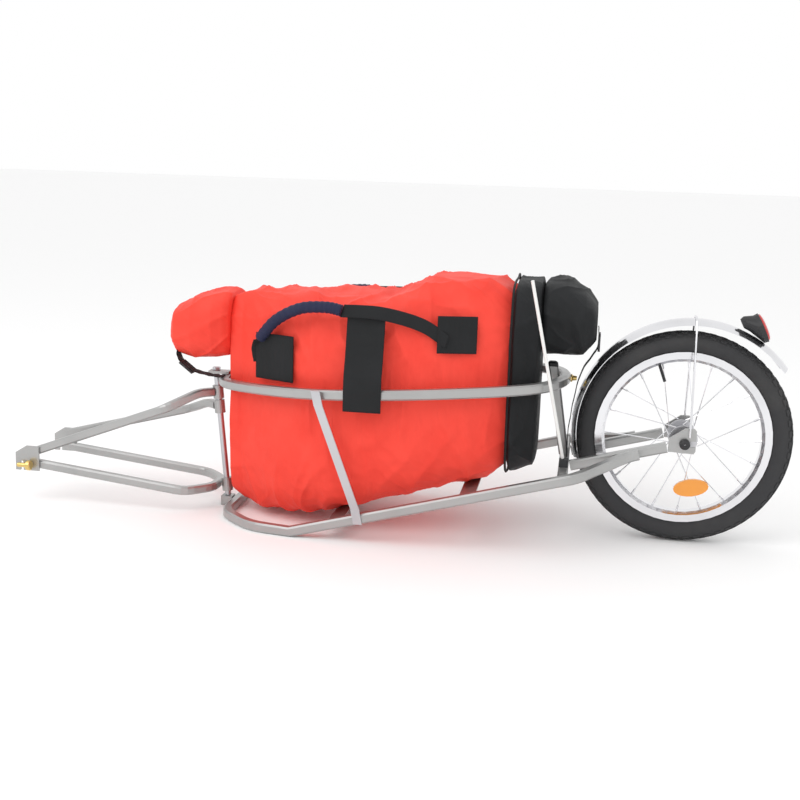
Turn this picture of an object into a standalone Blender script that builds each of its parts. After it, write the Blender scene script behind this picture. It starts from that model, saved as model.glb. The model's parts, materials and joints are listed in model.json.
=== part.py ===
"""Single-wheel bicycle cargo trailer with a fabric bag, hitch fork and mudguard."""
import bmesh
import bpy
from math import cos, pi, radians, sin
from mathutils import Matrix, Vector

for old in list(bpy.data.objects):
    bpy.data.objects.remove(old, do_unlink=True)

# Driving dimensions in metres. X runs to the rear, Y away from the near side, Z up.
CLEARANCE = 0.0003
FRAME_TUBE = 0.018
FORK_TUBE = 0.016
TUBE_CORNER = 0.003
TYRE_RADIUS = 0.198
TYRE_HALF_WIDTH = 0.022
TYRE_CROWN_HALF_WIDTH = 0.004
RIM_RADIUS = 0.160
RIM_HALF_WIDTH = 0.015
AXLE_RADIUS = 0.005
DROPOUT_SPACING = 0.123
DROPOUT_THICKNESS = 0.005
SPOKE_COUNT = 20
SPOKE_RADIUS = 0.001

FLOOR_HALF_WIDTH = 0.170
FLOOR_BEND_X = -0.700
FLOOR_FRONT_X = -0.850
FLOOR_TAPER_START_X = -0.190
FLOOR_END_X = -0.080
CROSS_MEMBER_X = -0.213

HOOP_FRONT_X = -0.876
HOOP_REAR_X = -0.2192
HOOP_FRONT_Z = 0.254
HOOP_SLOPE = 0.063

PIVOT_BASE_X = -0.868
PIVOT_LEAN = radians(5.8)
PIVOT_RADIUS = 0.006
SLEEVE_RADIUS = 0.0105
NEAR_SLEEVE_HEIGHT = 0.2270
FAR_SLEEVE_HEIGHT = 0.1985
LOWER_SLEEVE_HEIGHT = 0.0420
SLEEVE_LENGTH = 0.026

HITCH_SPACING = 0.172
HITCH_PLATE_THICKNESS = 0.004
HITCH_FRONT_X = -1.275
HITCH_REAR_X = -1.227
HITCH_TOP_Z = 0.112
HITCH_BOTTOM_Z = 0.063
HITCH_SLOT_X = -1.262
HITCH_SLOT_WIDTH = 0.006
HITCH_SLOT_DEPTH = 0.019

POST_TOP_X = -0.2430
POST_TOP_Z = 0.3160

FENDER_RADIUS = 0.213
FENDER_OFFSET = 0.008
FENDER_HALF_WIDTH = 0.028
FENDER_CROWN = 0.010
FENDER_WALL = 0.0012
FENDER_REAR_ANGLE = radians(38)
FENDER_FRONT_ANGLE = radians(196)

BAG_FRONT_X = -0.850
BAG_REAR_X = -0.266
BAG_GAP = 0.008
BAG_TOP_FRONT = 0.440
BAG_TOP_RISE = 0.040

UP = Vector((0, 0, 1))
ACROSS = Vector((0, 1, 0))
REARWARD = Vector((1, 0, 0))
NEAR = -1
FAR = 1

LOOKS = {
    "frame_paint": ((0.400, 0.400, 0.395), 0.34, 0.7),
    "black_plastic": ((0.022, 0.022, 0.024), 0.50, 0.0),
    "steel": ((0.62, 0.62, 0.64), 0.30, 1.0),
    "chrome": ((0.80, 0.80, 0.82), 0.10, 1.0),
    "brass": ((0.72, 0.53, 0.22), 0.28, 1.0),
    "rubber": ((0.030, 0.030, 0.032), 0.80, 0.0),
    "red_fabric": ((0.85, 0.070, 0.035), 0.55, 0.0),
    "black_fabric": ((0.018, 0.019, 0.021), 0.75, 0.0),
    "blue_grip": ((0.028, 0.038, 0.085), 0.70, 0.0),
    "amber": ((0.85, 0.33, 0.03), 0.20, 0.0),
    "red_lens": ((0.60, 0.02, 0.02), 0.18, 0.0),
    "white_rod": ((0.86, 0.86, 0.84), 0.40, 0.0),
}


# Shared modelling helpers.
def add_object(name, bm, look, parent=None):
    bmesh.ops.recalc_face_normals(bm, faces=bm.faces)
    mesh = bpy.data.meshes.new(name)
    bm.to_mesh(mesh)
    bm.free()
    obj = bpy.data.objects.new(name, mesh)
    bpy.context.scene.collection.objects.link(obj)
    colour, roughness, metallic = LOOKS[look]
    material = bpy.data.materials.new(name + "_finish")
    material.use_nodes = True
    shader = material.node_tree.nodes["Principled BSDF"]
    shader.inputs["Base Color"].default_value = (*colour, 1.0)
    shader.inputs["Roughness"].default_value = roughness
    shader.inputs["Metallic"].default_value = metallic
    mesh.materials.append(material)
    mesh.shade_smooth()
    mesh.set_sharp_from_angle(angle=radians(35))
    if parent:
        obj.parent = parent
        obj.matrix_parent_inverse = parent.matrix_basis.inverted()
    return obj


def loft(bm, rings, closed=False):
    rows = [[bm.verts.new(point) for point in ring] for ring in rings]
    pairs = list(zip(rows, rows[1:]))
    if closed:
        pairs.append((rows[-1], rows[0]))
    count = len(rows[0])
    for first, second in pairs:
        for k in range(count):
            after = (k + 1) % count
            bm.faces.new((first[k], first[after], second[after], second[k]))
    if not closed:
        bm.faces.new(rows[0])
        bm.faces.new(rows[-1])


def box_section(width, height, corner=TUBE_CORNER):
    a = width / 2
    b = height / 2
    c = corner
    return [(a - c, -b), (a, -b + c), (a, b - c), (a - c, b),
            (-a + c, b), (-a, b - c), (-a, -b + c), (-a + c, -b)]


def flat_section(width, thickness):
    a = width / 2
    b = thickness / 2
    return [(a, -b), (a, b), (-a, b), (-a, -b)]


def round_section(radius, sides):
    return [(radius * cos(2 * pi * k / sides), radius * sin(2 * pi * k / sides)) for k in range(sides)]


def sweep(bm, path, section, up=UP, closed=False):
    points = [Vector(point) for point in path]
    last = len(points) - 1
    rings = []
    for i, point in enumerate(points):
        before = points[i - 1] if i > 0 or closed else point
        after = points[(i + 1) % len(points)] if i < last or closed else point
        along = (after - before).normalized()
        side = up.cross(along).normalized()
        rise = along.cross(side)
        rings.append([point + side * u + rise * v for u, v in section])
    loft(bm, rings, closed)


def smooth_path(points, steps, closed=False):
    """Catmull-Rom curve through the points, which keeps each of them."""
    pts = [Vector(point) for point in points]
    count = len(pts)
    spans = count if closed else count - 1
    result = []
    for i in range(spans):
        b = pts[i]
        c = pts[(i + 1) % count]
        a = pts[i - 1] if i > 0 or closed else b * 2 - c
        d = pts[(i + 2) % count] if i + 2 < count or closed else c * 2 - b
        for k in range(steps):
            t = k / steps
            result.append(0.5 * (2 * b + (c - a) * t + (2 * a - 5 * b + 4 * c - d) * t ** 2
                                 + (3 * b - a - 3 * c + d) * t ** 3))
    if not closed:
        result.append(pts[-1])
    return result


def rounded_path(points, radius, steps=4):
    """Polyline whose bends are softened over one bend radius each way."""
    pts = [Vector(point) for point in points]
    result = [pts[0]]
    for before, corner, after in zip(pts, pts[1:], pts[2:]):
        into = (before - corner).normalized()
        out = (after - corner).normalized()
        start = corner + into * radius
        end = corner + out * radius
        for k in range(steps + 1):
            t = k / steps
            result.append(start * (1 - t) ** 2 + corner * 2 * t * (1 - t) + end * t ** 2)
    result.append(pts[-1])
    return result


def prism(bm, outline, y_low, y_high):
    loft(bm, [[Vector((x, y, z)) for x, z in outline] for y in (y_low, y_high)])


def box(bm, low, high):
    outline = [(low[0], low[2]), (high[0], low[2]), (high[0], high[2]), (low[0], high[2])]
    prism(bm, outline, low[1], high[1])


def axis_frame(axis):
    reference = UP if abs(axis.z) < 0.9 else REARWARD
    side = axis.cross(reference).normalized()
    return side, axis.cross(side)


def turned(bm, stations, base, axis, steps=16):
    """Solid of revolution; each station is a distance along the axis and a radius."""
    side, rise = axis_frame(axis)
    rings = []
    for distance, radius in stations:
        centre = base + axis * distance
        rings.append([centre + side * u + rise * v for u, v in round_section(radius, steps)])
    loft(bm, rings)


def ring_solid(bm, profile, centre, axis, steps=24, flats=False):
    """Revolved closed profile; each point is a radius and a distance along the axis.

    With flats, the radii are those of the facets' middles, and a facet faces each way
    along the two cross axes.
    """
    side, rise = axis_frame(axis)
    turn = pi / steps if flats else 0
    grow = 1 / cos(pi / steps) if flats else 1
    rings = []
    for k in range(steps):
        angle = 2 * pi * k / steps + turn
        out = side * cos(angle) + rise * sin(angle)
        rings.append([centre + axis * distance + out * radius * grow for radius, distance in profile])
    loft(bm, rings, closed=True)


def sleeve(bm, inner, outer, centre, axis, length, steps=20):
    half = length / 2
    ring_solid(bm, [(inner, -half), (outer, -half), (outer, half), (inner, half)], centre, axis, steps)


def rod(bm, start, end, radius, steps=10):
    span = Vector(end) - Vector(start)
    turned(bm, [(0, radius), (span.length, radius)], Vector(start), span.normalized(), steps)


# Derived places that several pieces share.
AXLE = Vector((0, 0, TYRE_RADIUS))
RAIL_Z = FRAME_TUBE / 2
INCLINE = (AXLE.z - RAIL_Z) / -FLOOR_BEND_X
DROPOUT_Y = DROPOUT_SPACING / 2
HALF_TUBE = FRAME_TUBE / 2
PIVOT_BASE = Vector((PIVOT_BASE_X, 0, 0))
PIVOT_AXIS = Vector((-sin(PIVOT_LEAN), 0, cos(PIVOT_LEAN)))
HITCH_Y = HITCH_SPACING / 2


def floor_z(x):
    return max(RAIL_Z, AXLE.z + INCLINE * x)


def hoop_z(x):
    return HOOP_FRONT_Z + HOOP_SLOPE * (x - HOOP_FRONT_X)


def pivot_point(height):
    return PIVOT_BASE + PIVOT_AXIS * (height / PIVOT_AXIS.z)


def post_x(z):
    low = floor_z(CROSS_MEMBER_X)
    return CROSS_MEMBER_X + (POST_TOP_X - CROSS_MEMBER_X) * (z - low) / (POST_TOP_Z - low)


HOOP_PLAN = [(-0.866, 0.040), (-0.832, 0.080), (-0.763, 0.128), (-0.690, 0.164), (-0.610, 0.182),
             (-0.510, 0.182), (-0.420, 0.170), (-0.330, 0.148), (-0.262, 0.113), (-0.230, 0.060)]
near_hoop = [(HOOP_FRONT_X, 0)] + [(x, -y) for x, y in HOOP_PLAN] + [(HOOP_REAR_X, 0)]
hoop_loop = near_hoop + [(x, y) for x, y in reversed(HOOP_PLAN)]
hoop_path = [Vector((p.x, p.y, hoop_z(p.x)))
             for p in smooth_path([(x, y, 0) for x, y in hoop_loop], 3, closed=True)]


def hoop_half_width(x):
    near = [p for p in hoop_path if p.y <= 0.0001]
    near.sort(key=lambda p: p.x)
    for a, b in zip(near, near[1:]):
        if a.x <= x <= b.x:
            return -(a.y + (b.y - a.y) * (x - a.x) / (b.x - a.x))
    return 0.0


pivot = bpy.data.objects.new("fork_pivot", None)
bpy.context.scene.collection.objects.link(pivot)
pivot.matrix_basis = Matrix.Translation(PIVOT_BASE) @ Matrix.Rotation(-PIVOT_LEAN, 4, "Y")
wheel_centre = bpy.data.objects.new("wheel_centre", None)
bpy.context.scene.collection.objects.link(wheel_centre)
wheel_centre.matrix_basis = Matrix.Translation(AXLE)


# Lower frame: inclined floor rails, bars, cross member, wheel arms and dropouts.
RAIL_END_Y = DROPOUT_Y + FRAME_TUBE + CLEARANCE
for side, name in ((NEAR, "floor_rail_near"), (FAR, "floor_rail_far")):
    plan = [(FLOOR_FRONT_X, CLEARANCE / 2), (FLOOR_FRONT_X, 0.085), (-0.780, 0.155),
            (FLOOR_BEND_X, FLOOR_HALF_WIDTH)]
    front = rounded_path([(x, side * y, 0) for x, y in plan], 0.030)
    tail = rounded_path([(FLOOR_BEND_X, side * FLOOR_HALF_WIDTH, 0),
                         (FLOOR_TAPER_START_X, side * FLOOR_HALF_WIDTH, 0),
                         (FLOOR_TAPER_START_X + FLOOR_HALF_WIDTH - RAIL_END_Y, side * RAIL_END_Y, 0),
                         (FLOOR_END_X, side * RAIL_END_Y, 0)], 0.016)
    bm = bmesh.new()
    sweep(bm, [(p.x, p.y, floor_z(p.x)) for p in front + tail[1:]], box_section(FRAME_TUBE, FRAME_TUBE))
    add_object(name, bm, "frame_paint")

BAR_THICKNESS = 0.004
BAR_HALF_LENGTH = 0.015
rail_inner = FLOOR_HALF_WIDTH - HALF_TUBE - CLEARANCE
for x, name in ((-0.620, "floor_bar_front"), (-0.380, "floor_bar_rear")):
    bm = bmesh.new()
    outline = [(x + dx, floor_z(x + dx) + dz) for dx, dz in
               ((-BAR_HALF_LENGTH, -BAR_THICKNESS / 2), (BAR_HALF_LENGTH, -BAR_THICKNESS / 2),
                (BAR_HALF_LENGTH, BAR_THICKNESS / 2), (-BAR_HALF_LENGTH, BAR_THICKNESS / 2))]
    prism(bm, outline, -rail_inner, rail_inner)
    add_object(name, bm, "frame_paint")

cross_z = floor_z(CROSS_MEMBER_X)
cross_top = cross_z + HALF_TUBE
cross_rear = CROSS_MEMBER_X + HALF_TUBE
bm = bmesh.new()
sweep(bm, [(CROSS_MEMBER_X, -rail_inner, cross_z), (CROSS_MEMBER_X, rail_inner, cross_z)],
      box_section(FRAME_TUBE, FRAME_TUBE))
add_object("rear_cross_member", bm, "frame_paint")

ARM_START_X = cross_rear + HALF_TUBE * INCLINE + CLEARANCE
ARM_END_X = -0.031
DROPOUT_FRONT_X = ARM_END_X + HALF_TUBE * INCLINE + CLEARANCE
for side, label in ((NEAR, "near"), (FAR, "far")):
    y = side * DROPOUT_Y
    bm = bmesh.new()
    sweep(bm, [(ARM_START_X, y, floor_z(ARM_START_X)), (ARM_END_X, y, floor_z(ARM_END_X))],
          box_section(FRAME_TUBE, FRAME_TUBE))
    add_object("wheel_arm_" + label, bm, "frame_paint")
    slot = AXLE_RADIUS + CLEARANCE
    notch = [(slot * sin(angle) * -1, AXLE.z + slot * cos(angle) * -1)
             for angle in [radians(30 * k) for k in range(7)]]
    outline = [(DROPOUT_FRONT_X, 0.182), (0.017, 0.180), (0.020, 0.185), (0.020, AXLE.z - slot)]
    outline += notch + [(0.020, AXLE.z + slot), (0.020, 0.222), (0.016, 0.226),
                        (0.000, 0.226), (DROPOUT_FRONT_X, 0.206)]
    bm = bmesh.new()
    prism(bm, outline, y - DROPOUT_THICKNESS / 2, y + DROPOUT_THICKNESS / 2)
    add_object("dropout_" + label, bm, "frame_paint")


# Upper frame: hoop, pivot rod with its plates, rear post and side braces.
bm = bmesh.new()
sweep(bm, hoop_path, box_section(FRAME_TUBE, FRAME_TUBE), closed=True)
add_object("top_hoop", bm, "frame_paint")

PLATE_THICKNESS = 0.005
hoop_top = hoop_z(HOOP_FRONT_X) + HALF_TUBE + 0.001
plate_low = hoop_top + CLEARANCE
foot_top = 0.019
rod_x = pivot_point(plate_low).x
bm = bmesh.new()
box(bm, (rod_x - 0.013, -0.012, plate_low), (HOOP_FRONT_X + HALF_TUBE, 0.012, plate_low + PLATE_THICKNESS))
add_object("pivot_head_plate", bm, "frame_paint")
bm = bmesh.new()
foot_rear = FLOOR_FRONT_X - HALF_TUBE - CLEARANCE
box(bm, (foot_rear - 0.022, -0.012, 0.0005), (foot_rear, 0.012, foot_top))
add_object("pivot_foot", bm, "frame_paint")

bm = bmesh.new()
rod_start = pivot_point(foot_top + 0.001)
rod_end = pivot_point(plate_low - 0.001)
rod(bm, rod_start, rod_end, PIVOT_RADIUS, 20)
add_object("pivot_rod", bm, "steel")

bm = bmesh.new()
turned(bm, [(0, 0.008), (0.006, 0.008)], Vector((rod_x, 0, plate_low + PLATE_THICKNESS + CLEARANCE)), UP, 6)
add_object("pivot_nut", bm, "steel")

bm = bmesh.new()
post_low = cross_top + CLEARANCE
post_rings = []
for z in (post_low, POST_TOP_Z):
    post_rings.append([Vector((post_x(z) + u, v, z)) for u, v in box_section(FRAME_TUBE, FRAME_TUBE)])
loft(bm, post_rings)
add_object("rear_post", bm, "frame_paint")

bm = bmesh.new()
cap_low = POST_TOP_Z + CLEARANCE
cap_rings = []
for rise, inset in ((0, 0), (0.006, 0), (0.009, 0.003)):
    z = cap_low + rise
    size = FRAME_TUBE - 2 * inset
    cap_rings.append([Vector((post_x(z) + u, v, z)) for u, v in box_section(size, size)])
loft(bm, cap_rings)
add_object("rear_post_cap", bm, "black_plastic")

bm = bmesh.new()
bolt_z = hoop_z(HOOP_REAR_X)
bolt_base = Vector((HOOP_REAR_X + HALF_TUBE + CLEARANCE, 0, bolt_z))
turned(bm, [(0, 0.0075), (0.002, 0.0075), (0.004, 0.005), (0.011, 0.004)], bolt_base, REARWARD)
add_object("hoop_wing_bolt", bm, "brass")

BRACE_WIDTH = 0.016
BRACE_THICKNESS = 0.003
BRACE_TOP_X = -0.652
BRACE_LOW_X = -0.572
for side, name in ((NEAR, "side_brace_near"), (FAR, "side_brace_far")):
    bm = bmesh.new()
    hoop_face = max(abs(p.y) for p in hoop_path) + HALF_TUBE + CLEARANCE
    floor_face = FLOOR_HALF_WIDTH + HALF_TUBE + CLEARANCE
    top_z = hoop_z(BRACE_TOP_X)
    low_z = floor_z(BRACE_LOW_X)
    path = [(BRACE_TOP_X, hoop_face, top_z + 0.010), (BRACE_TOP_X + 0.006, hoop_face, top_z - 0.016),
            (BRACE_LOW_X - 0.006, floor_face, low_z + 0.020), (BRACE_LOW_X, floor_face, low_z - 0.008)]
    rings = []
    for x, y, z in path:
        inner = side * y
        outer = side * (y + BRACE_THICKNESS)
        rings.append([Vector((x - BRACE_WIDTH / 2, inner, z)), Vector((x + BRACE_WIDTH / 2, inner, z)),
                      Vector((x + BRACE_WIDTH / 2, outer, z)), Vector((x - BRACE_WIDTH / 2, outer, z))])
    loft(bm, rings)
    add_object(name, bm, "steel")


# Mudguard with its wire stay and foot bracket, and the rear reflector.
fender_centre = AXLE + Vector((FENDER_OFFSET, 0, FENDER_OFFSET))


def fender_point(angle, y, depth):
    radius = FENDER_RADIUS - depth - FENDER_CROWN * (y / FENDER_HALF_WIDTH) ** 2
    return fender_centre + Vector((radius * cos(angle), y, radius * sin(angle)))


bm = bmesh.new()
fender_steps = 36
widths = [FENDER_HALF_WIDTH * (k / 4 - 1) for k in range(9)]
rings = []
for i in range(fender_steps + 1):
    angle = FENDER_REAR_ANGLE + (FENDER_FRONT_ANGLE - FENDER_REAR_ANGLE) * i / fender_steps
    outer = [fender_point(angle, y, 0) for y in widths]
    inner = [fender_point(angle, y, FENDER_WALL) for y in reversed(widths)]
    rings.append(outer + inner)
loft(bm, rings)
add_object("fender", bm, "chrome")

WIRE_RADIUS = 0.002
stay_y = DROPOUT_Y + DROPOUT_THICKNESS / 2 + WIRE_RADIUS + CLEARANCE
stay_top = fender_centre.z + FENDER_RADIUS + WIRE_RADIUS + CLEARANCE + 0.0003
half_stay = [(stay_y, 0.2105), (stay_y, 0.236), (0.050, 0.330), (0.0345, 0.395),
             (0.0270, stay_top - 0.006), (0.0120, stay_top)]
stay_points = [(FENDER_OFFSET, -y, z) for y, z in half_stay] + [(FENDER_OFFSET, 0, stay_top)]
stay_points += [(FENDER_OFFSET, y, z) for y, z in reversed(half_stay)]
bm = bmesh.new()
sweep(bm, smooth_path(stay_points, 3), round_section(WIRE_RADIUS, 8), up=REARWARD)
add_object("fender_stay", bm, "chrome")

bm = bmesh.new()
foot_x = cross_rear - 0.004
bracket_y = -HALF_TUBE - 0.003
box(bm, (foot_x - 0.002, bracket_y - 0.014, cross_top + CLEARANCE), (foot_x, bracket_y, cross_top + 0.028))
add_object("fender_bracket", bm, "black_plastic")

lamp_axis = Vector((cos(radians(26)), 0, sin(radians(26))))
lamp_rise = Vector((-sin(radians(26)), 0, cos(radians(26))))
lamp_face = Vector((0.1266, 0, 0.4079))
lamp_stations = ((Vector((0.0896, 0, 0.4129)), 0.009), (Vector((0.0976, 0, 0.4129)), 0.015),
                 (lamp_face - lamp_axis * 0.008, 0.0270), (lamp_face, 0.0280))
bm = bmesh.new()
loft(bm, [[centre + ACROSS * u + lamp_rise * v for u, v in round_section(radius, 20)]
          for centre, radius in lamp_stations])
add_object("reflector_housing", bm, "black_plastic")
bm = bmesh.new()
turned(bm, [(CLEARANCE, 0.0260), (0.003, 0.0250), (0.005, 0.0200)], lamp_face, lamp_axis, 20)
add_object("reflector_lens", bm, "red_lens")


# Axle, its spacers and its domed nuts.
hub_end = 0.0342
dropout_inner = DROPOUT_Y - DROPOUT_THICKNESS / 2
dropout_outer = DROPOUT_Y + DROPOUT_THICKNESS / 2
NUT_LENGTH = 0.007
axle_end = dropout_outer + NUT_LENGTH + CLEARANCE
bm = bmesh.new()
rod(bm, AXLE - ACROSS * axle_end, AXLE + ACROSS * axle_end, AXLE_RADIUS, 16)
add_object("axle", bm, "steel")

bore = AXLE_RADIUS + CLEARANCE
for side, label in ((NEAR, "near"), (FAR, "far")):
    outward = ACROSS * side
    spacer_length = dropout_inner - hub_end - 2 * CLEARANCE
    spacer_centre = AXLE + outward * (hub_end + CLEARANCE + spacer_length / 2)
    bm = bmesh.new()
    sleeve(bm, bore, 0.009, spacer_centre, outward, spacer_length, 16)
    add_object("axle_spacer_" + label, bm, "steel")
    cap_base = AXLE + outward * (dropout_outer + CLEARANCE)
    closed_end = NUT_LENGTH + 2 * CLEARANCE
    dome = [(bore, 0), (0.0095, 0), (0.0095, NUT_LENGTH), (0.0088, closed_end + 0.003),
            (0.0055, closed_end + 0.005), (0.0020, closed_end + 0.0055), (0.0020, closed_end), (bore, closed_end)]
    bm = bmesh.new()
    ring_solid(bm, dome, cap_base, outward, 16)
    add_object("axle_nut_" + label, bm, "black_plastic")


# Flag pole's lower rod, in a socket on the cross member.
POLE_RADIUS = 0.003
pole_y = -0.100
socket_top = cross_top + CLEARANCE + 0.014
bm = bmesh.new()
box(bm, (CROSS_MEMBER_X - 0.008, pole_y - 0.008, cross_top + CLEARANCE),
    (CROSS_MEMBER_X + 0.008, pole_y + 0.008, socket_top))
add_object("pole_socket", bm, "black_plastic")
bm = bmesh.new()
rod(bm, (CROSS_MEMBER_X - 0.002, pole_y, socket_top + 0.0014), (-0.283, -0.165, 0.487), POLE_RADIUS, 10)
add_object("flag_pole", bm, "white_rod")


# Hitch fork, which turns about the pivot rod.
arm_y = HITCH_Y - HITCH_PLATE_THICKNESS / 2 - CLEARANCE - FORK_TUBE / 2
arm_section = box_section(FORK_TUBE, FORK_TUBE)
ARM_FRONT_X = -1.242
BEND_X = -0.975
sleeve_reach = SLEEVE_RADIUS + CLEARANCE + 0.0006
for side, name, front_z, bend_z, height in ((NEAR, "fork_arm_near", 0.0990, 0.2010, NEAR_SLEEVE_HEIGHT),
                                            (FAR, "fork_arm_far", 0.1030, 0.1730, FAR_SLEEVE_HEIGHT)):
    hub = pivot_point(height)
    corner = Vector((BEND_X, side * arm_y, bend_z))
    inward = Vector((hub.x - corner.x, -corner.y, 0)).normalized()
    end = Vector((hub.x, 0, height)) - inward * sleeve_reach
    knee = end - inward * 0.030
    path = rounded_path([(ARM_FRONT_X, side * arm_y, front_z), corner, knee, end], 0.014, 3)
    bm = bmesh.new()
    sweep(bm, path, arm_section)
    add_object(name, bm, "frame_paint", pivot)

lower_hub = pivot_point(LOWER_SLEEVE_HEIGHT)
cross_x = lower_hub.x - SLEEVE_RADIUS - FORK_TUBE / 2 - CLEARANCE - 0.0012
half_lower = [(ARM_FRONT_X, arm_y, 0.0765), (-0.935, arm_y, 0.0415), (cross_x, arm_y - 0.045, 0.0415)]
lower_path = [(x, -y, z) for x, y, z in half_lower] + [(x, y, z) for x, y, z in reversed(half_lower)]
bm = bmesh.new()
sweep(bm, rounded_path(lower_path, 0.018, 3), arm_section)
add_object("fork_lower", bm, "frame_paint", pivot)

for name, height in (("sleeve_near_arm", NEAR_SLEEVE_HEIGHT), ("sleeve_far_arm", FAR_SLEEVE_HEIGHT - CLEARANCE),
                     ("sleeve_lower", LOWER_SLEEVE_HEIGHT)):
    bm = bmesh.new()
    sleeve(bm, PIVOT_RADIUS + CLEARANCE, SLEEVE_RADIUS, pivot_point(height), PIVOT_AXIS, SLEEVE_LENGTH)
    add_object(name, bm, "frame_paint", pivot)

slot_left = HITCH_SLOT_X - HITCH_SLOT_WIDTH / 2
slot_right = HITCH_SLOT_X + HITCH_SLOT_WIDTH / 2
slot_top = HITCH_BOTTOM_Z + HITCH_SLOT_DEPTH
hitch_outline = [(HITCH_FRONT_X, HITCH_BOTTOM_Z), (slot_left, HITCH_BOTTOM_Z),
                 (slot_left, slot_top - 0.002), (HITCH_SLOT_X, slot_top),
                 (slot_right, slot_top - 0.002), (slot_right, HITCH_BOTTOM_Z),
                 (HITCH_REAR_X, HITCH_BOTTOM_Z), (HITCH_REAR_X, HITCH_TOP_Z),
                 (HITCH_FRONT_X + 0.022, HITCH_TOP_Z), (HITCH_FRONT_X, HITCH_TOP_Z - 0.014)]
PIN_RADIUS = 0.0045
KNOB_RADIUS = 0.010
pin_y = HITCH_Y + HITCH_PLATE_THICKNESS / 2 + KNOB_RADIUS + CLEARANCE
pin_z = 0.0760
for side, label in ((NEAR, "near"), (FAR, "far")):
    bm = bmesh.new()
    edges = sorted((side * (HITCH_Y - HITCH_PLATE_THICKNESS / 2), side * (HITCH_Y + HITCH_PLATE_THICKNESS / 2)))
    prism(bm, hitch_outline, edges[0], edges[1])
    add_object("hitch_plate_" + label, bm, "frame_paint", pivot)
    pin_base = Vector((HITCH_SLOT_X - 0.005, side * pin_y, pin_z))
    bm = bmesh.new()
    turned(bm, [(0, 0.003), (0.002, PIN_RADIUS), (0.0195, PIN_RADIUS), (0.0198, KNOB_RADIUS - 0.001),
                (0.021, KNOB_RADIUS), (0.0275, KNOB_RADIUS), (0.029, KNOB_RADIUS - 0.002)],
           pin_base, REARWARD, 16)
    add_object("lock_pin_" + label, bm, "brass", pivot)
    low = HITCH_Y + HITCH_PLATE_THICKNESS / 2 + CLEARANCE
    high = pin_y - PIN_RADIUS - CLEARANCE
    ends = sorted((side * low, side * high))
    bm = bmesh.new()
    guide_rear = pin_base.x + 0.0195 - CLEARANCE
    box(bm, (guide_rear - 0.008, ends[0], pin_z - 0.006), (guide_rear, ends[1], pin_z + 0.006))
    add_object("pin_guide_" + label, bm, "frame_paint", pivot)


# Wheel, which turns about the axle.
bm = bmesh.new()
tyre_outer = [(0.1505, 0.0126), (0.1605, 0.0126), (0.1660, 0.0185), (0.1760, TYRE_HALF_WIDTH),
              (0.1880, 0.0195), (0.1955, 0.0110), (TYRE_RADIUS, TYRE_CROWN_HALF_WIDTH)]
tyre_inner = [(0.1945, 0.0), (0.1925, 0.0090), (0.1860, 0.0165), (0.1760, 0.0185),
              (0.1680, 0.0150), (0.1620, 0.0095), (0.1505, 0.0085)]
profile = [(r, -y) for r, y in tyre_outer] + [(r, y) for r, y in reversed(tyre_outer)]
profile += [(r, y) for r, y in reversed(tyre_inner)] + [(r, -y) for r, y in tyre_inner[1:]]
ring_solid(bm, profile, AXLE, ACROSS, 48, flats=True)
add_object("tyre", bm, "rubber", wheel_centre)

bm = bmesh.new()
tube_centre = 0.177
tube_profile = [(tube_centre + u, v) for u, v in
                [(0.0172 * cos(2 * pi * k / 10), 0.0158 * sin(2 * pi * k / 10)) for k in range(10)]]
ring_solid(bm, tube_profile, AXLE, ACROSS, 48)
add_object("inner_tube", bm, "rubber", wheel_centre)
bm = bmesh.new()
valve_out = Vector((cos(radians(111)), 0, sin(radians(111))))
rod(bm, AXLE + valve_out * 0.108, AXLE + valve_out * 0.1412, 0.0028, 8)
add_object("valve_stem", bm, "rubber", wheel_centre)

bm = bmesh.new()
rim_side = [(RIM_RADIUS, RIM_HALF_WIDTH), (RIM_RADIUS, 0.0129), (0.1500, 0.0129)]
rim_profile = [(0.1418, 0.0090), (0.1470, RIM_HALF_WIDTH)] + rim_side
rim_profile += [(r, -y) for r, y in reversed(rim_side)] + [(0.1470, -RIM_HALF_WIDTH), (0.1418, -0.0090)]
ring_solid(bm, rim_profile, AXLE, ACROSS, 48)
rim = add_object("spoked_rim", bm, "chrome", wheel_centre)

bm = bmesh.new()
flange_radius = 0.026
half_hub = [(0.0107, hub_end), (0.0135, hub_end), (0.0135, 0.0305), (flange_radius, 0.0300),
            (flange_radius, 0.0265), (0.0140, 0.0255), (0.0125, 0.0)]
hub_profile = half_hub + [(r, -y) for r, y in reversed(half_hub[:-1])]
ring_solid(bm, hub_profile, AXLE, ACROSS, 24)
add_object("hub", bm, "steel", wheel_centre)

for side, name in ((NEAR, "hub_bearing_near"), (FAR, "hub_bearing_far")):
    bm = bmesh.new()
    sleeve(bm, bore, 0.0104, AXLE + ACROSS * side * (hub_end - 0.004), ACROSS, 0.008, 20)
    add_object(name, bm, "steel", wheel_centre)

bm = bmesh.new()
for k in range(SPOKE_COUNT):
    side = NEAR if k % 2 else FAR
    lead = 1 if k % 4 < 2 else -1
    rim_angle = 2 * pi * k / SPOKE_COUNT
    hub_angle = rim_angle - lead * radians(40)
    start = AXLE + Vector((0.0271 * cos(hub_angle), side * (0.0285 + 0.0025 * lead), 0.0271 * sin(hub_angle)))
    end = AXLE + Vector((0.1440 * cos(rim_angle), side * 0.004, 0.1440 * sin(rim_angle)))
    along = (end - start).normalized()
    length = (end - start).length
    turned(bm, [(0, SPOKE_RADIUS), (length - 0.014, SPOKE_RADIUS), (length - 0.0135, 0.002), (length, 0.002)],
           start, along, 6)
spokes = add_object("spoke_set", bm, "steel", wheel_centre)
spokes.hide_render = True
spokes.display_type = "WIRE"
lacing = rim.modifiers.new("lacing", "BOOLEAN")
lacing.operation = "UNION"
lacing.solver = "EXACT"
lacing.object = spokes

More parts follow.
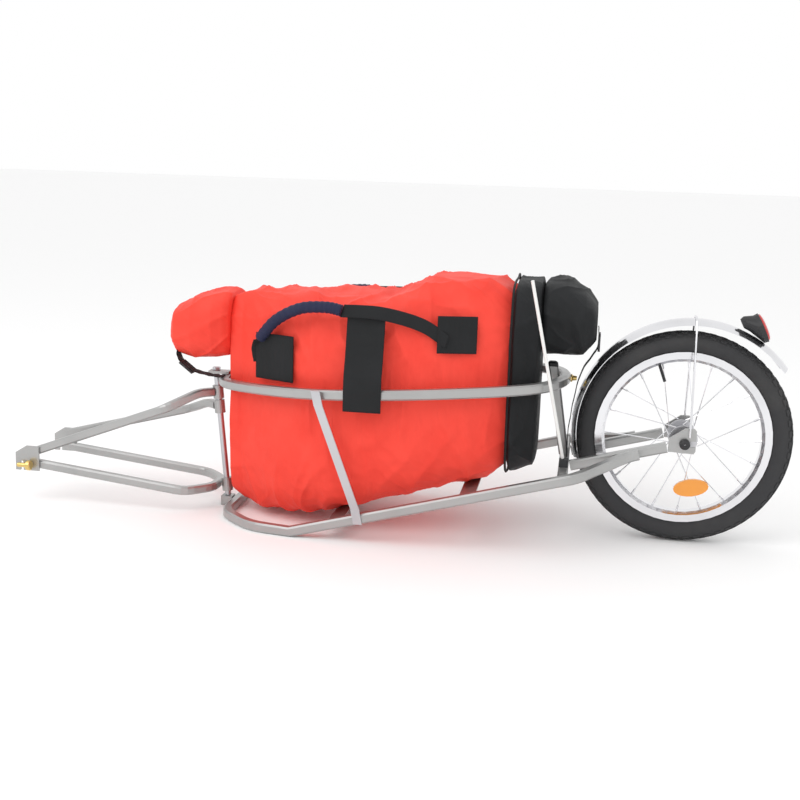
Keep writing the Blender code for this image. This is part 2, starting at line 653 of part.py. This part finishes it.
bm = bmesh.new()
reflector_centre = AXLE + Vector((0.021, 0, -0.091))
tilt = radians(10)
outline = []
for u, v in round_section(1, 20):
    a = 0.032 * u
    b = 0.016 * v
    outline.append((reflector_centre.x + a * cos(tilt) - b * sin(tilt),
                    reflector_centre.z + a * sin(tilt) + b * cos(tilt)))
prism(bm, outline, -0.0242, -0.0175)
add_object("wheel_reflector", bm, "amber", wheel_centre)


# Bag: a base, the body on it, two rolled ends, carrying grips, a centre band each side and a rear strap.
def smooth_step(t):
    t = min(1, max(0, t))
    return t * t * (3 - 2 * t)


def bag_half_width(x):
    return max(0.018, hoop_half_width(x) - HALF_TUBE - BAG_GAP)


def bag_top(x):
    return BAG_TOP_FRONT + BAG_TOP_RISE * smooth_step((x + 0.56) / 0.10)


def soft_ring(x, half_width, low, high, power=4, sides=16):
    """Rounded box across the bag: a superellipse in the YZ plane."""
    middle = (low + high) / 2
    half_height = (high - low) / 2
    ring = []
    for u, v in round_section(1, sides):
        y = half_width * abs(u) ** (2 / power) * (1 if u > 0 else -1)
        z = half_height * abs(v) ** (2 / power) * (1 if v > 0 else -1)
        ring.append(Vector((x, y, middle + z)))
    return ring


BASE_HEIGHT = 0.034
base_front = BAG_FRONT_X + 0.024
base_spans = 14
base_stations = [base_front + (BAG_REAR_X - base_front) * i / base_spans for i in range(base_spans + 1)]


def base_low(x):
    return floor_z(x) + BAR_THICKNESS / 2 + 0.0005


bm = bmesh.new()
rings = []
for x in base_stations:
    low = base_low(x)
    width = min(bag_half_width(x), rail_inner - BAG_GAP)
    rings.append(soft_ring(x, width, low, low + BASE_HEIGHT, power=6, sides=12))
loft(bm, rings)
add_object("bag_base", bm, "red_fabric")

bm = bmesh.new()
rings = []
for x in [BAG_FRONT_X] + base_stations:
    low = base_low(x) + BASE_HEIGHT + CLEARANCE
    rings.append(soft_ring(x, bag_half_width(x), low, bag_top(x), power=5, sides=20))
loft(bm, rings)
add_object("bag_body", bm, "red_fabric")

ROLL_GAP = 0.0005
for name, look, stations in (
        ("bag_front_roll", "red_fabric", ((-0.967, 0.070, 0.325, 0.385), (-0.955, 0.088, 0.305, 0.402),
                                          (-0.920, 0.098, 0.297, 0.424), (-0.880, 0.095, 0.300, 0.432),
                                          (BAG_FRONT_X - ROLL_GAP, 0.080, 0.306, 0.436))),
        ("bag_rear_roll", "black_fabric", ((BAG_REAR_X + ROLL_GAP, 0.092, 0.338, 0.478),
                                           (-0.225, 0.100, 0.340, 0.480), (-0.190, 0.100, 0.345, 0.462),
                                           (-0.168, 0.086, 0.365, 0.440)))):
    bm = bmesh.new()
    loft(bm, [soft_ring(x, width, low, high) for x, width, low, high in stations])
    add_object(name, bm, look)

GRIP_RADIUS = 0.011
BAND_WIDTH = 0.068
BAND_THICKNESS = 0.0025
band_x = -0.568
for side, label in ((NEAR, "near"), (FAR, "far")):
    grip_plan = ((-0.775, 0.355), (-0.740, 0.392), (-0.690, 0.418), (-0.640, 0.424), (-0.612, 0.420))
    grip_points = [(x, side * (bag_half_width(x) + GRIP_RADIUS + 0.001), z) for x, z in grip_plan]
    bm = bmesh.new()
    sweep(bm, smooth_path(grip_points, 4), round_section(GRIP_RADIUS, 10))
    add_object("handle_grip_" + label, bm, "blue_grip")
    outside = hoop_half_width(band_x) + HALF_TUBE + CLEARANCE + BAND_THICKNESS / 2 + 0.0001
    hoop_level = hoop_z(band_x)
    side_path = ((bag_half_width(band_x) + 0.004, 0.400), (outside - 0.012, 0.345), (outside, 0.300),
                 (outside, hoop_level), (outside, hoop_level - 0.030))
    bm = bmesh.new()
    sweep(bm, [(band_x, side * y, z) for y, z in side_path],
          [(v, u) for u, v in flat_section(BAND_WIDTH, BAND_THICKNESS)], up=REARWARD)
    add_object("centre_band_" + label, bm, "black_fabric")

strap_y = -0.046
bm = bmesh.new()
sweep(bm, smooth_path([(-0.1655, strap_y, 0.400), (-0.1655, strap_y, 0.362), (-0.193, strap_y, 0.310),
                       (-0.2075, strap_y, 0.220), (-0.2095, strap_y, cross_top + 0.001)], 3),
      flat_section(0.025, 0.0016), up=UP)
add_object("rear_strap", bm, "black_fabric")
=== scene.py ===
import json
from math import cos, exp, pi, radians, sin

import bmesh
import bpy
from mathutils import Matrix, Vector, noise


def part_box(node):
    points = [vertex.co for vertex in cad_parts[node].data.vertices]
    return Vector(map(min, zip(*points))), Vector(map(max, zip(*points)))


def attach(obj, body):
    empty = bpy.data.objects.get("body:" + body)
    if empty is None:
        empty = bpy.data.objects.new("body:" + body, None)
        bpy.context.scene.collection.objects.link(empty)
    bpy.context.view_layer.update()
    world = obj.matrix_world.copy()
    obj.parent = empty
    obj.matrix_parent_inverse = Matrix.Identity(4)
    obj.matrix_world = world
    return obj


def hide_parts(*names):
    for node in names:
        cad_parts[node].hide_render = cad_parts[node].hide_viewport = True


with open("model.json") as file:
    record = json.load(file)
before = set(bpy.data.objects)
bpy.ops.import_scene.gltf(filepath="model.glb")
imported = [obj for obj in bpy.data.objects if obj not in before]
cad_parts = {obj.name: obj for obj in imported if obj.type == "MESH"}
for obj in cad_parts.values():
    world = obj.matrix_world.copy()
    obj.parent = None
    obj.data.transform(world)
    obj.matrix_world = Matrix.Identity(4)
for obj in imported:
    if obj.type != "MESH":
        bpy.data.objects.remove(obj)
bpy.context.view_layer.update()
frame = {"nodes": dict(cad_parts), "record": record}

scene = bpy.context.scene
scene.view_settings.view_transform = "Standard"

# Camera and light
print("camera and light")
cameraSetup = {"place": (-0.1913, -2.1772, 0.6651), "forward": (-0.151, 0.9696, -0.1925),
               "up": (-0.0627, 0.1849, 0.9807), "lens": 52.8}
lightSetup = {"sky": 0.97, "key": 30.0, "fill": 4.0}


def makeCamera(setup):
    back = -Vector(setup["forward"]).normalized()
    right = Vector(setup["up"]).cross(back).normalized()
    up = back.cross(right)
    camera = bpy.data.objects.new("camera", bpy.data.cameras.new("camera"))
    camera.data.lens = setup["lens"]
    camera.data.sensor_width = 36
    matrix = Matrix((right, up, back)).transposed().to_4x4()
    matrix.translation = Vector(setup["place"])
    camera.matrix_world = matrix
    scene.collection.objects.link(camera)
    scene.camera = camera


def softLamp(name, place, power, size):
    lamp = bpy.data.objects.new(name, bpy.data.lights.new(name, "AREA"))
    lamp.data.energy = power
    lamp.data.size = size
    lamp.location = place
    lamp.rotation_euler = (Vector((-0.5, 0, 0.2)) - Vector(place)).to_track_quat("-Z", "Y").to_euler()
    scene.collection.objects.link(lamp)


makeCamera(cameraSetup)
softLamp("keyLight", (-1.9, -1.9, 2.4), lightSetup["key"], 2.2)
softLamp("fillLight", (1.6, -1.4, 1.6), lightSetup["fill"], 2.0)


def paleWorld(strength):
    world = bpy.data.worlds.new("studio")
    world.use_nodes = True
    scene.world = world
    tree = world.node_tree
    sky = tree.nodes["Background"]
    path = tree.nodes.new("ShaderNodeLightPath")
    level = tree.nodes.new("ShaderNodeMix")
    seen = tree.nodes.new("ShaderNodeMath")
    seen.operation = "MAXIMUM"
    level.inputs["A"].default_value = strength
    level.inputs["B"].default_value = 1.0
    tree.links.new(path.outputs["Is Camera Ray"], seen.inputs[0])
    tree.links.new(path.outputs["Is Glossy Ray"], seen.inputs[1])
    tree.links.new(seen.outputs[0], level.inputs["Factor"])
    tree.links.new(level.outputs["Result"], sky.inputs["Strength"])
    sky.inputs["Color"].default_value = (1, 1, 1, 1)


paleWorld(lightSetup["sky"])


# Materials: one wear group and one woven group, placed with each material's own values
def newGroup(name, inputs, outputs):
    group = bpy.data.node_groups.new(name, "ShaderNodeTree")
    for label, kind, value in inputs:
        socket = group.interface.new_socket(label, in_out="INPUT", socket_type=kind)
        socket.default_value = value
    for label, kind in outputs:
        group.interface.new_socket(label, in_out="OUTPUT", socket_type=kind)
    return group, group.nodes.new("NodeGroupInput"), group.nodes.new("NodeGroupOutput")


def mixColour(tree, factor, low, high):
    node = tree.nodes.new("ShaderNodeMix")
    node.data_type = "RGBA"
    tree.links.new(factor, node.inputs["Factor"])
    tree.links.new(low, node.inputs["A"])
    tree.links.new(high, node.inputs["B"])
    return node.outputs["Result"]


def ramp(tree, source, low, high, start=0.0, end=1.0):
    node = tree.nodes.new("ShaderNodeMapRange")
    node.inputs["From Min"].default_value = start
    node.inputs["From Max"].default_value = end
    node.inputs["To Min"].default_value = low
    node.inputs["To Max"].default_value = high
    tree.links.new(source, node.inputs["Value"])
    return node.outputs["Result"]


def buildWear():
    colour = "NodeSocketColor"
    number = "NodeSocketFloat"
    group, given, result = newGroup(
        "surfaceWear",
        [("Colour", colour, (0.5, 0.5, 0.5, 1)), ("Worn", colour, (0.5, 0.5, 0.5, 1)),
         ("Scale", number, 60.0), ("Roughness", number, 0.4)],
        [("Colour", colour), ("Roughness", number), ("Height", number)])
    where = group.nodes.new("ShaderNodeTexCoord")
    broad = group.nodes.new("ShaderNodeTexNoise")
    broad.inputs["Scale"].default_value = 9.0
    broad.inputs["Detail"].default_value = 6.0
    fine = group.nodes.new("ShaderNodeTexNoise")
    fine.inputs["Detail"].default_value = 8.0
    group.links.new(where.outputs["Object"], broad.inputs["Vector"])
    group.links.new(where.outputs["Object"], fine.inputs["Vector"])
    group.links.new(given.outputs["Scale"], fine.inputs["Scale"])
    mask = ramp(group, broad.outputs["Fac"], 0.0, 0.6, 0.48, 0.75)
    worn = mixColour(group, mask, given.outputs["Colour"], given.outputs["Worn"])
    group.links.new(worn, result.inputs["Colour"])
    change = ramp(group, fine.outputs["Fac"], -0.07, 0.10)
    total = group.nodes.new("ShaderNodeMath")
    group.links.new(change, total.inputs[0])
    group.links.new(given.outputs["Roughness"], total.inputs[1])
    group.links.new(total.outputs[0], result.inputs["Roughness"])
    group.links.new(fine.outputs["Fac"], result.inputs["Height"])
    return group


def buildWeave():
    colour = "NodeSocketColor"
    number = "NodeSocketFloat"
    group, given, result = newGroup(
        "wovenCloth",
        [("Colour", colour, (0.5, 0.1, 0.1, 1)), ("Shade", colour, (0.3, 0.05, 0.05, 1)),
         ("Scale", number, 900.0)],
        [("Colour", colour), ("Roughness", number), ("Height", number)])
    where = group.nodes.new("ShaderNodeTexCoord")
    threads = []
    for direction in ("X", "Z"):
        wave = group.nodes.new("ShaderNodeTexWave")
        wave.bands_direction = direction
        wave.inputs["Distortion"].default_value = 0.6
        group.links.new(where.outputs["Object"], wave.inputs["Vector"])
        group.links.new(given.outputs["Scale"], wave.inputs["Scale"])
        threads.append(wave.outputs["Fac"])
    cloth = group.nodes.new("ShaderNodeMath")
    cloth.operation = "MAXIMUM"
    group.links.new(threads[0], cloth.inputs[0])
    group.links.new(threads[1], cloth.inputs[1])
    dust = group.nodes.new("ShaderNodeTexNoise")
    dust.inputs["Scale"].default_value = 14.0
    dust.inputs["Detail"].default_value = 5.0
    group.links.new(where.outputs["Object"], dust.inputs["Vector"])
    mask = ramp(group, dust.outputs["Fac"], 0.0, 0.7, 0.42, 0.72)
    dusty = mixColour(group, mask, given.outputs["Colour"], given.outputs["Shade"])
    group.links.new(dusty, result.inputs["Colour"])
    group.links.new(ramp(group, dust.outputs["Fac"], 0.48, 0.72), result.inputs["Roughness"])
    group.links.new(cloth.outputs[0], result.inputs["Height"])
    return group


wearGroup = buildWear()
weaveGroup = buildWeave()


def material(name, group, values, metallic=0.0, bump=0.1, coat=0.0, specular=0.5):
    made = bpy.data.materials.new(name)
    made.use_nodes = True
    tree = made.node_tree
    shader = tree.nodes["Principled BSDF"]
    effect = tree.nodes.new("ShaderNodeGroup")
    effect.node_tree = group
    for label, value in values.items():
        effect.inputs[label].default_value = value
    relief = tree.nodes.new("ShaderNodeBump")
    relief.inputs["Strength"].default_value = bump
    relief.inputs["Distance"].default_value = 0.0008
    tree.links.new(effect.outputs["Colour"], shader.inputs["Base Color"])
    tree.links.new(effect.outputs["Roughness"], shader.inputs["Roughness"])
    tree.links.new(effect.outputs["Height"], relief.inputs["Height"])
    tree.links.new(relief.outputs["Normal"], shader.inputs["Normal"])
    shader.inputs["Metallic"].default_value = metallic
    shader.inputs["Coat Weight"].default_value = coat
    shader.inputs["Specular IOR Level"].default_value = specular
    return made


def wear(name, colour, worn, roughness, **more):
    values = {"Colour": (*colour, 1), "Worn": (*worn, 1), "Roughness": roughness}
    return material(name, wearGroup, values, **more)


def weave(name, colour, shade, **more):
    values = {"Colour": (*colour, 1), "Shade": (*shade, 1)}
    return material(name, weaveGroup, values, specular=0.25, **more)


finishes = {
    "frame_paint": wear("silverPaint", (0.42, 0.42, 0.415), (0.34, 0.34, 0.335), 0.32, metallic=0.75,
                        bump=0.06),
    "black_plastic": wear("mouldedPlastic", (0.018, 0.018, 0.020), (0.035, 0.035, 0.038), 0.48),
    "steel": wear("plainSteel", (0.56, 0.56, 0.58), (0.40, 0.40, 0.42), 0.30, metallic=1.0),
    "chrome": wear("polishedChrome", (0.78, 0.78, 0.80), (0.62, 0.62, 0.64), 0.12, metallic=1.0, bump=0.03),
    "brass": wear("yellowPassivated", (0.74, 0.54, 0.20), (0.58, 0.40, 0.14), 0.26, metallic=1.0),
    "rubber": wear("tyreRubber", (0.030, 0.030, 0.032), (0.060, 0.058, 0.056), 0.78, bump=0.4),
    "tube_rubber": wear("softRubber", (0.025, 0.025, 0.027), (0.040, 0.040, 0.042), 0.70),
    "amber": wear("amberPlastic", (0.86, 0.32, 0.03), (0.70, 0.22, 0.02), 0.16, coat=0.6),
    "red_lens": wear("redPlastic", (0.58, 0.02, 0.02), (0.40, 0.01, 0.01), 0.16, coat=0.6),
    "white_rod": wear("glassFibre", (0.84, 0.84, 0.82), (0.72, 0.72, 0.70), 0.38),
    "red_fabric": weave("coatedRedCloth", (0.90, 0.068, 0.044), (0.80, 0.048, 0.030), bump=0.20),
    "black_fabric": weave("blackCloth", (0.010, 0.011, 0.012), (0.018, 0.019, 0.021), bump=0.35),
    "blue_grip": weave("paddedBlueCloth", (0.018, 0.022, 0.060), (0.030, 0.036, 0.080), bump=0.4),
}

for part in frame["record"]["subparts"]:
    cadObject = frame["nodes"][part["node"]]
    cadObject.data.materials.clear()
    cadObject.data.materials.append(finishes[part["material_slot"]])


# Bag: a red shell and a black rear panel over the body and base, and folded ends
print("bag")
bagCut = {"around": 192, "seamX": -0.318, "fold": 0.0080, "cinch": 0.0070, "cinchHeight": 0.020}


def finishMesh(name, bm, slotName, body="frame"):
    bmesh.ops.recalc_face_normals(bm, faces=bm.faces)
    mesh = bpy.data.meshes.new(name)
    bm.to_mesh(mesh)
    bm.free()
    mesh.shade_smooth()
    piece = bpy.data.objects.new(name, mesh)
    scene.collection.objects.link(piece)
    piece.data.materials.append(finishes[slotName])
    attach(piece, body)
    return piece


def loftRings(bm, rings):
    rows = [[bm.verts.new(point) for point in ring] for ring in rings]
    count = len(rows[0])
    for near, far in zip(rows, rows[1:]):
        for k in range(count):
            bm.faces.new((near[k], near[(k + 1) % count], far[(k + 1) % count], far[k]))
    bm.faces.new(rows[0])
    bm.faces.new(rows[-1])


def ringPoints(centre, across, rise, sides, power=2.0):
    points = []
    for k in range(sides):
        a = cos(2 * pi * k / sides)
        b = sin(2 * pi * k / sides)
        u = abs(a) ** (2 / power) * (1 if a > 0 else -1)
        v = abs(b) ** (2 / power) * (1 if b > 0 else -1)
        points.append(Vector(centre) + Vector(across) * u + Vector(rise) * v)
    return points


def nodeProfile(node, x):
    points = [v.co for v in frame["nodes"][node].data.vertices]
    stations = sorted({round(p.x, 4) for p in points})
    values = []
    for station in stations:
        ring = [p for p in points if abs(p.x - station) < 0.0002]
        values.append((station, max(p.y for p in ring), min(p.z for p in ring), max(p.z for p in ring)))
    x = min(max(x, stations[0]), stations[-1])
    for first, second in zip(values, values[1:]):
        if first[0] <= x <= second[0]:
            t = (x - first[0]) / (second[0] - first[0])
            return [a + (b - a) * t for a, b in zip(first[1:], second[1:])]
    return values[-1][1:]


def ridge(point, frequency, sharpness):
    return (1 - abs(noise.noise(Vector([a * b for a, b in zip(point, frequency)])))) ** sharpness


# The hoop's height follows the CAD hoop, whose front is 0.254 up and rises 63 mm a metre.
def clothFold(point, depth):
    x, y, z = point
    broad = noise.noise(Vector((x * 7, y * 5, z * 5)))
    bend = 0.10 * noise.noise(Vector((x * 5, y * 5, z * 6 + 4)))
    slanted = ridge((x + 0.5 * z + bend, y, z), (15, 7, 5), 5)
    crossed = ridge((x - 0.6 * z, y + 2, z + bend), (11, 9, 19), 6)
    small = ridge((x + z, y + 5, z - bend), (34, 20, 26), 4)
    hoopHeight = 0.254 + 0.063 * (x + 0.876)
    cinch = bagCut["cinch"] * exp(-((z - hoopHeight) / bagCut["cinchHeight"]) ** 2)
    folds = 0.7 * broad + 0.9 * slanted + 0.6 * crossed + 0.25 * small - 1.05
    return depth * folds - cinch * min(1, depth / bagCut["fold"])


def wholeProfile(nodes, x):
    values = [nodeProfile(node, x) for node in nodes]
    return max(v[0] for v in values), min(v[1] for v in values), max(v[2] for v in values)


def bagShell(name, nodes, slotName, start, end, power, stations, depth, inset=0.002):
    bm = bmesh.new()
    rings = []
    for i in range(stations + 1):
        x = start + (end - start) * i / stations
        halfWidth, low, high = wholeProfile(nodes, x)
        middle = (low + high) / 2
        edge = min(i, stations - i) / stations
        puff = 1 - 0.10 * max(0, 1 - edge * 9) ** 2
        ring = ringPoints((x, 0, middle), (0, (halfWidth - inset) * puff, 0),
                          (0, 0, (high - low) / 2 * puff), bagCut["around"], power)
        for k, point in enumerate(ring):
            out = (point - Vector((x, 0, middle))).normalized()
            move = clothFold(point, depth)
            ring[k] = point + out * (min(move, 0) if out.z < -0.6 else move)
        rings.append(ring)
    loftRings(bm, rings)
    piece = finishMesh(name, bm, slotName)
    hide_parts(*nodes)
    return piece


bodyLow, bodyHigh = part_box("bag_body")
seamX = bagCut["seamX"]
bagNodes = ("bag_body", "bag_base")
bagShell("bagRedShell", bagNodes, "red_fabric", bodyLow.x, seamX, 4.2, 240, bagCut["fold"])
bagShell("bagRearPanel", bagNodes, "black_fabric", seamX + 0.0008, bodyHigh.x, 4.2, 30, bagCut["fold"])
rollLow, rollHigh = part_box("bag_front_roll")
bagShell("bagFrontFold", ("bag_front_roll",), "red_fabric", rollLow.x, rollHigh.x, 3.0, 60, 0.007)
tailLow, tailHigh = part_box("bag_rear_roll")
bagShell("bagRearFold", ("bag_rear_roll",), "black_fabric", tailLow.x, tailHigh.x, 3.0, 50, 0.007)


# Piping follows the seam between the red cloth and the black panel.
def piping(name, x, nodes, slotName):
    halfWidth, low, high = wholeProfile(nodes, x)
    middle = (low + high) / 2
    ring = ringPoints((x, 0, middle), (0, halfWidth - 0.001, 0), (0, 0, (high - low) / 2 - 0.001), 192, 4.2)
    bm = bmesh.new()
    rows = []
    for k, point in enumerate(ring):
        out = (point - Vector((x, 0, middle))).normalized()
        centre = point + out * clothFold(point, bagCut["fold"])
        rows.append([bm.verts.new(centre + out * 0.0022 * cos(a) + Vector((0.0022 * sin(a), 0, 0)))
                     for a in [2 * pi * j / 8 for j in range(8)]])
    for near, far in zip(rows, rows[1:] + rows[:1]):
        for j in range(8):
            bm.faces.new((near[j], near[(j + 1) % 8], far[(j + 1) % 8], far[j]))
    return finishMesh(name, bm, slotName)


piping("rearPanelPiping", seamX, bagNodes, "black_fabric")

# Grips, centre bands and straps
print("grips and straps")
gripCut = {"radius": 0.0108, "sides": 20, "ribs": 18, "swell": 0.0012}
patches = {"Front": (-0.745, 0.322, 0.080, 0.085), "Rear": (-0.409, 0.385, 0.068, 0.066)}
slope = {"Front": 0.019, "Rear": -0.009}


def tubeAlong(bm, path, radii, sides):
    rings = []
    for i, point in enumerate(path):
        along = (path[min(i + 1, len(path) - 1)] - path[max(i - 1, 0)]).normalized()
        side = Vector((0, 0, 1)).cross(along).normalized()
        rings.append(ringPoints(point, side * radii[i], along.cross(side) * radii[i], sides))
    loftRings(bm, rings)


def splinePath(points, steps):
    pts = [Vector(p) for p in points]
    path = []
    for i in range(len(pts) - 1):
        a = pts[max(i - 1, 0)]
        b = pts[i]
        c = pts[i + 1]
        d = pts[min(i + 2, len(pts) - 1)]
        for k in range(steps):
            t = k / steps
            path.append(0.5 * (2 * b + (c - a) * t + (2 * a - 5 * b + 4 * c - d) * t ** 2
                               + (3 * b - a - 3 * c + d) * t ** 3))
    path.append(pts[-1])
    return path


def clothBand(name, points, width, thickness, across, slotName, replaced=None, steps=8):
    path = splinePath(points, steps)
    across = Vector(across).normalized()
    bm = bmesh.new()
    rings = []
    for i, point in enumerate(path):
        along = (path[min(i + 1, len(path) - 1)] - path[max(i - 1, 0)]).normalized()
        face = along.cross(across).normalized()
        ripple = 0.0004 * sin(i * 1.7)
        rings.append(ringPoints(point + face * ripple, across * width / 2, face * thickness / 2, 16, 6))
    loftRings(bm, rings)
    piece = finishMesh(name, bm, slotName)
    if replaced:
        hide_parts(replaced)
    return piece


for side, label in ((-1, "near"), (1, "far")):
    node = "handle_grip_" + label
    gripPoints = [(-0.775, 0.355), (-0.740, 0.392), (-0.690, 0.418), (-0.640, 0.424), (-0.612, 0.420)]
    widths = [nodeProfile("bag_body", x)[0] + 0.012 for x, z in gripPoints]
    path = splinePath([(x, side * w, z) for (x, z), w in zip(gripPoints, widths)], 14)
    ribTurn = 2 * pi * gripCut["ribs"] / len(path)
    radii = [gripCut["radius"] - gripCut["swell"] * (0.5 + 0.5 * cos(ribTurn * i)) for i in range(len(path))]
    bm = bmesh.new()
    tubeAlong(bm, path, radii, gripCut["sides"])
    grip = finishMesh("gripCover" + label.capitalize(), bm, "blue_grip")
    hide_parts(node)
    frontWidth = nodeProfile("bag_body", -0.79)[0]
    rearWidth = nodeProfile("bag_body", -0.45)[0]
    clothBand("gripWebFront" + label.capitalize(),
              [(-0.776, side * widths[0], 0.353), (-0.783, side * (frontWidth + 0.010), 0.335),
               (-0.780, side * (frontWidth + 0.006), 0.310)],
              0.024, 0.0018, (1, 0, 0.2), "black_fabric")
    clothBand("gripWebRear" + label.capitalize(),
              [(-0.610, side * (widths[-1] + 0.002), 0.420), (-0.540, side * (widths[-1] + 0.004), 0.419),
               (-0.470, side * (rearWidth + 0.006), 0.400), (-0.425, side * (rearWidth + 0.004), 0.372)],
              0.024, 0.0018, (0.3, 0, 1), "black_fabric")
    for place, (x, z, width, height) in patches.items():
        patchWidth = nodeProfile("bag_body", x)[0] + 0.0035
        clothBand("grip" + place + "Patch" + label.capitalize(),
                  [(x - width / 2, side * (patchWidth - slope[place]), z),
                   (x, side * patchWidth, z), (x + width / 2, side * (patchWidth + slope[place]), z)],
                  height, 0.0016, (0, 0, 1), "black_fabric")
    bandLow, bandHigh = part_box("centre_band_" + label)
    bandX = (bandLow.x + bandHigh.x) / 2
    bodyWidth = nodeProfile("bag_body", bandX)[0]
    reach = max(abs(bandLow.y), abs(bandHigh.y)) - 0.0013
    clothBand("centreBandCloth" + label.capitalize(),
              [(bandX, side * (bodyWidth + 0.002), 0.425), (bandX, side * (bodyWidth + 0.006), 0.395),
               (bandX, side * (reach - 0.012), 0.345), (bandX, side * reach, 0.300),
               (bandX, side * reach, bandLow.z + 0.001)],
              bandHigh.x - bandLow.x, 0.0024, (1, 0, 0), "black_fabric", "centre_band_" + label)

strapLow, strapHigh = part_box("rear_strap")
strapY = (strapLow.y + strapHigh.y) / 2
clothBand("rearStrapWeb",
          [(-0.1655, strapY, 0.400), (-0.1655, strapY, 0.362), (-0.193, strapY, 0.310),
           (-0.2075, strapY, 0.220), (-0.2095, strapY, strapLow.z + 0.001)],
          0.025, 0.0016, (0, 1, 0), "black_fabric", "rear_strap")


# Ladder-lock buckle: a frame with cross bars
def buckle(name, place, turn):
    bm = bmesh.new()
    made = bmesh.ops.create_grid(bm, x_segments=1, y_segments=3, size=0.5)
    bmesh.ops.scale(bm, vec=(0.032, 0.030, 1), verts=bm.verts)
    bmesh.ops.inset_individual(bm, faces=list(bm.faces), thickness=0.0022)
    inner = [face for face in bm.faces if face.calc_area() < 0.00022 and len(face.edges) == 4
             and all(len(edge.link_faces) == 2 for edge in face.edges)]
    inner = [face for face in inner if face.calc_area() > 0.00012]
    bmesh.ops.delete(bm, geom=inner, context="FACES")
    bmesh.ops.solidify(bm, geom=bm.faces[:], thickness=0.004)
    bmesh.ops.rotate(bm, verts=bm.verts, cent=(0, 0, 0), matrix=Matrix.Rotation(turn, 3, "Y"))
    bmesh.ops.translate(bm, verts=bm.verts, vec=place)
    return finishMesh(name, bm, "black_plastic")


buckle("rearBuckle", (-0.1610, strapY, 0.372), radians(90))
buckle("frontBuckle", (-0.934, -0.050, 0.2835), radians(38))
clothBand("frontStrapWeb",
          [(-0.951, -0.050, 0.326), (-0.953, -0.050, 0.303), (-0.934, -0.050, 0.2800),
           (-0.895, -0.048, 0.2690), (-0.866, -0.046, 0.2660)],
          0.025, 0.0016, (0, 1, 0), "black_fabric")


# Tyre: a casing sunk below the CAD profile, with five rows of blocks that reach it
print("tyre")
tyreCut = {"count": 60, "steps": 144, "blockHeight": 0.0036,
           "casing": ((0.1507, 0.0124), (0.1605, 0.0124), (0.1660, 0.0183), (0.1760, 0.0217),
                      (0.1855, 0.0192), (0.1932, 0.0106), (0.1955, 0.0038)),
           "rows": ((0.0, 0.1976, 0), (0.0092, 0.1958, 20), (0.0158, 0.1908, 41))}
axle = Vector((0, 0, 0.198))
bm = bmesh.new()
half = tyreCut["casing"]
section = [(radius, -y) for radius, y in half] + [(radius, y) for radius, y in reversed(half)]
rows = []
for k in range(tyreCut["steps"]):
    angle = 2 * pi * k / tyreCut["steps"]
    rows.append([bm.verts.new(axle + Vector((r * cos(angle), y, r * sin(angle)))) for r, y in section])
for near, far in zip(rows, rows[1:] + rows[:1]):
    for j in range(len(section)):
        after = (j + 1) % len(section)
        bm.faces.new((near[j], near[after], far[after], far[j]))
for row, (offset, top, tilt) in enumerate(tyreCut["rows"]):
    for sign in (-1, 1) if offset else (1,):
        for k in range(tyreCut["count"]):
            angle = 2 * pi * (k + 0.5 * (row % 2)) / tyreCut["count"]
            made = bmesh.ops.create_cube(bm, size=1)["verts"]
            bmesh.ops.scale(bm, vec=(0.0115, 0.0062, tyreCut["blockHeight"]), verts=made)
            bmesh.ops.translate(bm, verts=made, vec=(0, 0, -tyreCut["blockHeight"] / 2))
            lean = Matrix.Rotation(-sign * radians(tilt), 3, "X")
            bmesh.ops.rotate(bm, verts=made, cent=(0, 0, 0), matrix=lean)
            bmesh.ops.translate(bm, verts=made, vec=(0, sign * offset, top))
            bmesh.ops.rotate(bm, verts=made, cent=(0, 0, 0), matrix=Matrix.Rotation(angle, 3, "Y"))
            bmesh.ops.translate(bm, verts=made, vec=axle)
tread = finishMesh("blockTyre", bm, "rubber", body="wheel")
tread.data.set_sharp_from_angle(angle=radians(35))
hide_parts("tyre")

# Floor
floorMesh = bpy.data.meshes.new("floor")
bm = bmesh.new()
bmesh.ops.create_grid(bm, x_segments=1, y_segments=1, size=60)
bm.to_mesh(floorMesh)
bm.free()
floor = bpy.data.objects.new("floor", floorMesh)
scene.collection.objects.link(floor)
floorPaint = bpy.data.materials.new("paleFloor")
floorPaint.use_nodes = True
floorPaint.node_tree.nodes["Principled BSDF"].inputs["Base Color"].default_value = (0.97, 0.97, 0.97, 1)
floorPaint.node_tree.nodes["Principled BSDF"].inputs["Roughness"].default_value = 0.9
floor.data.materials.append(floorPaint)
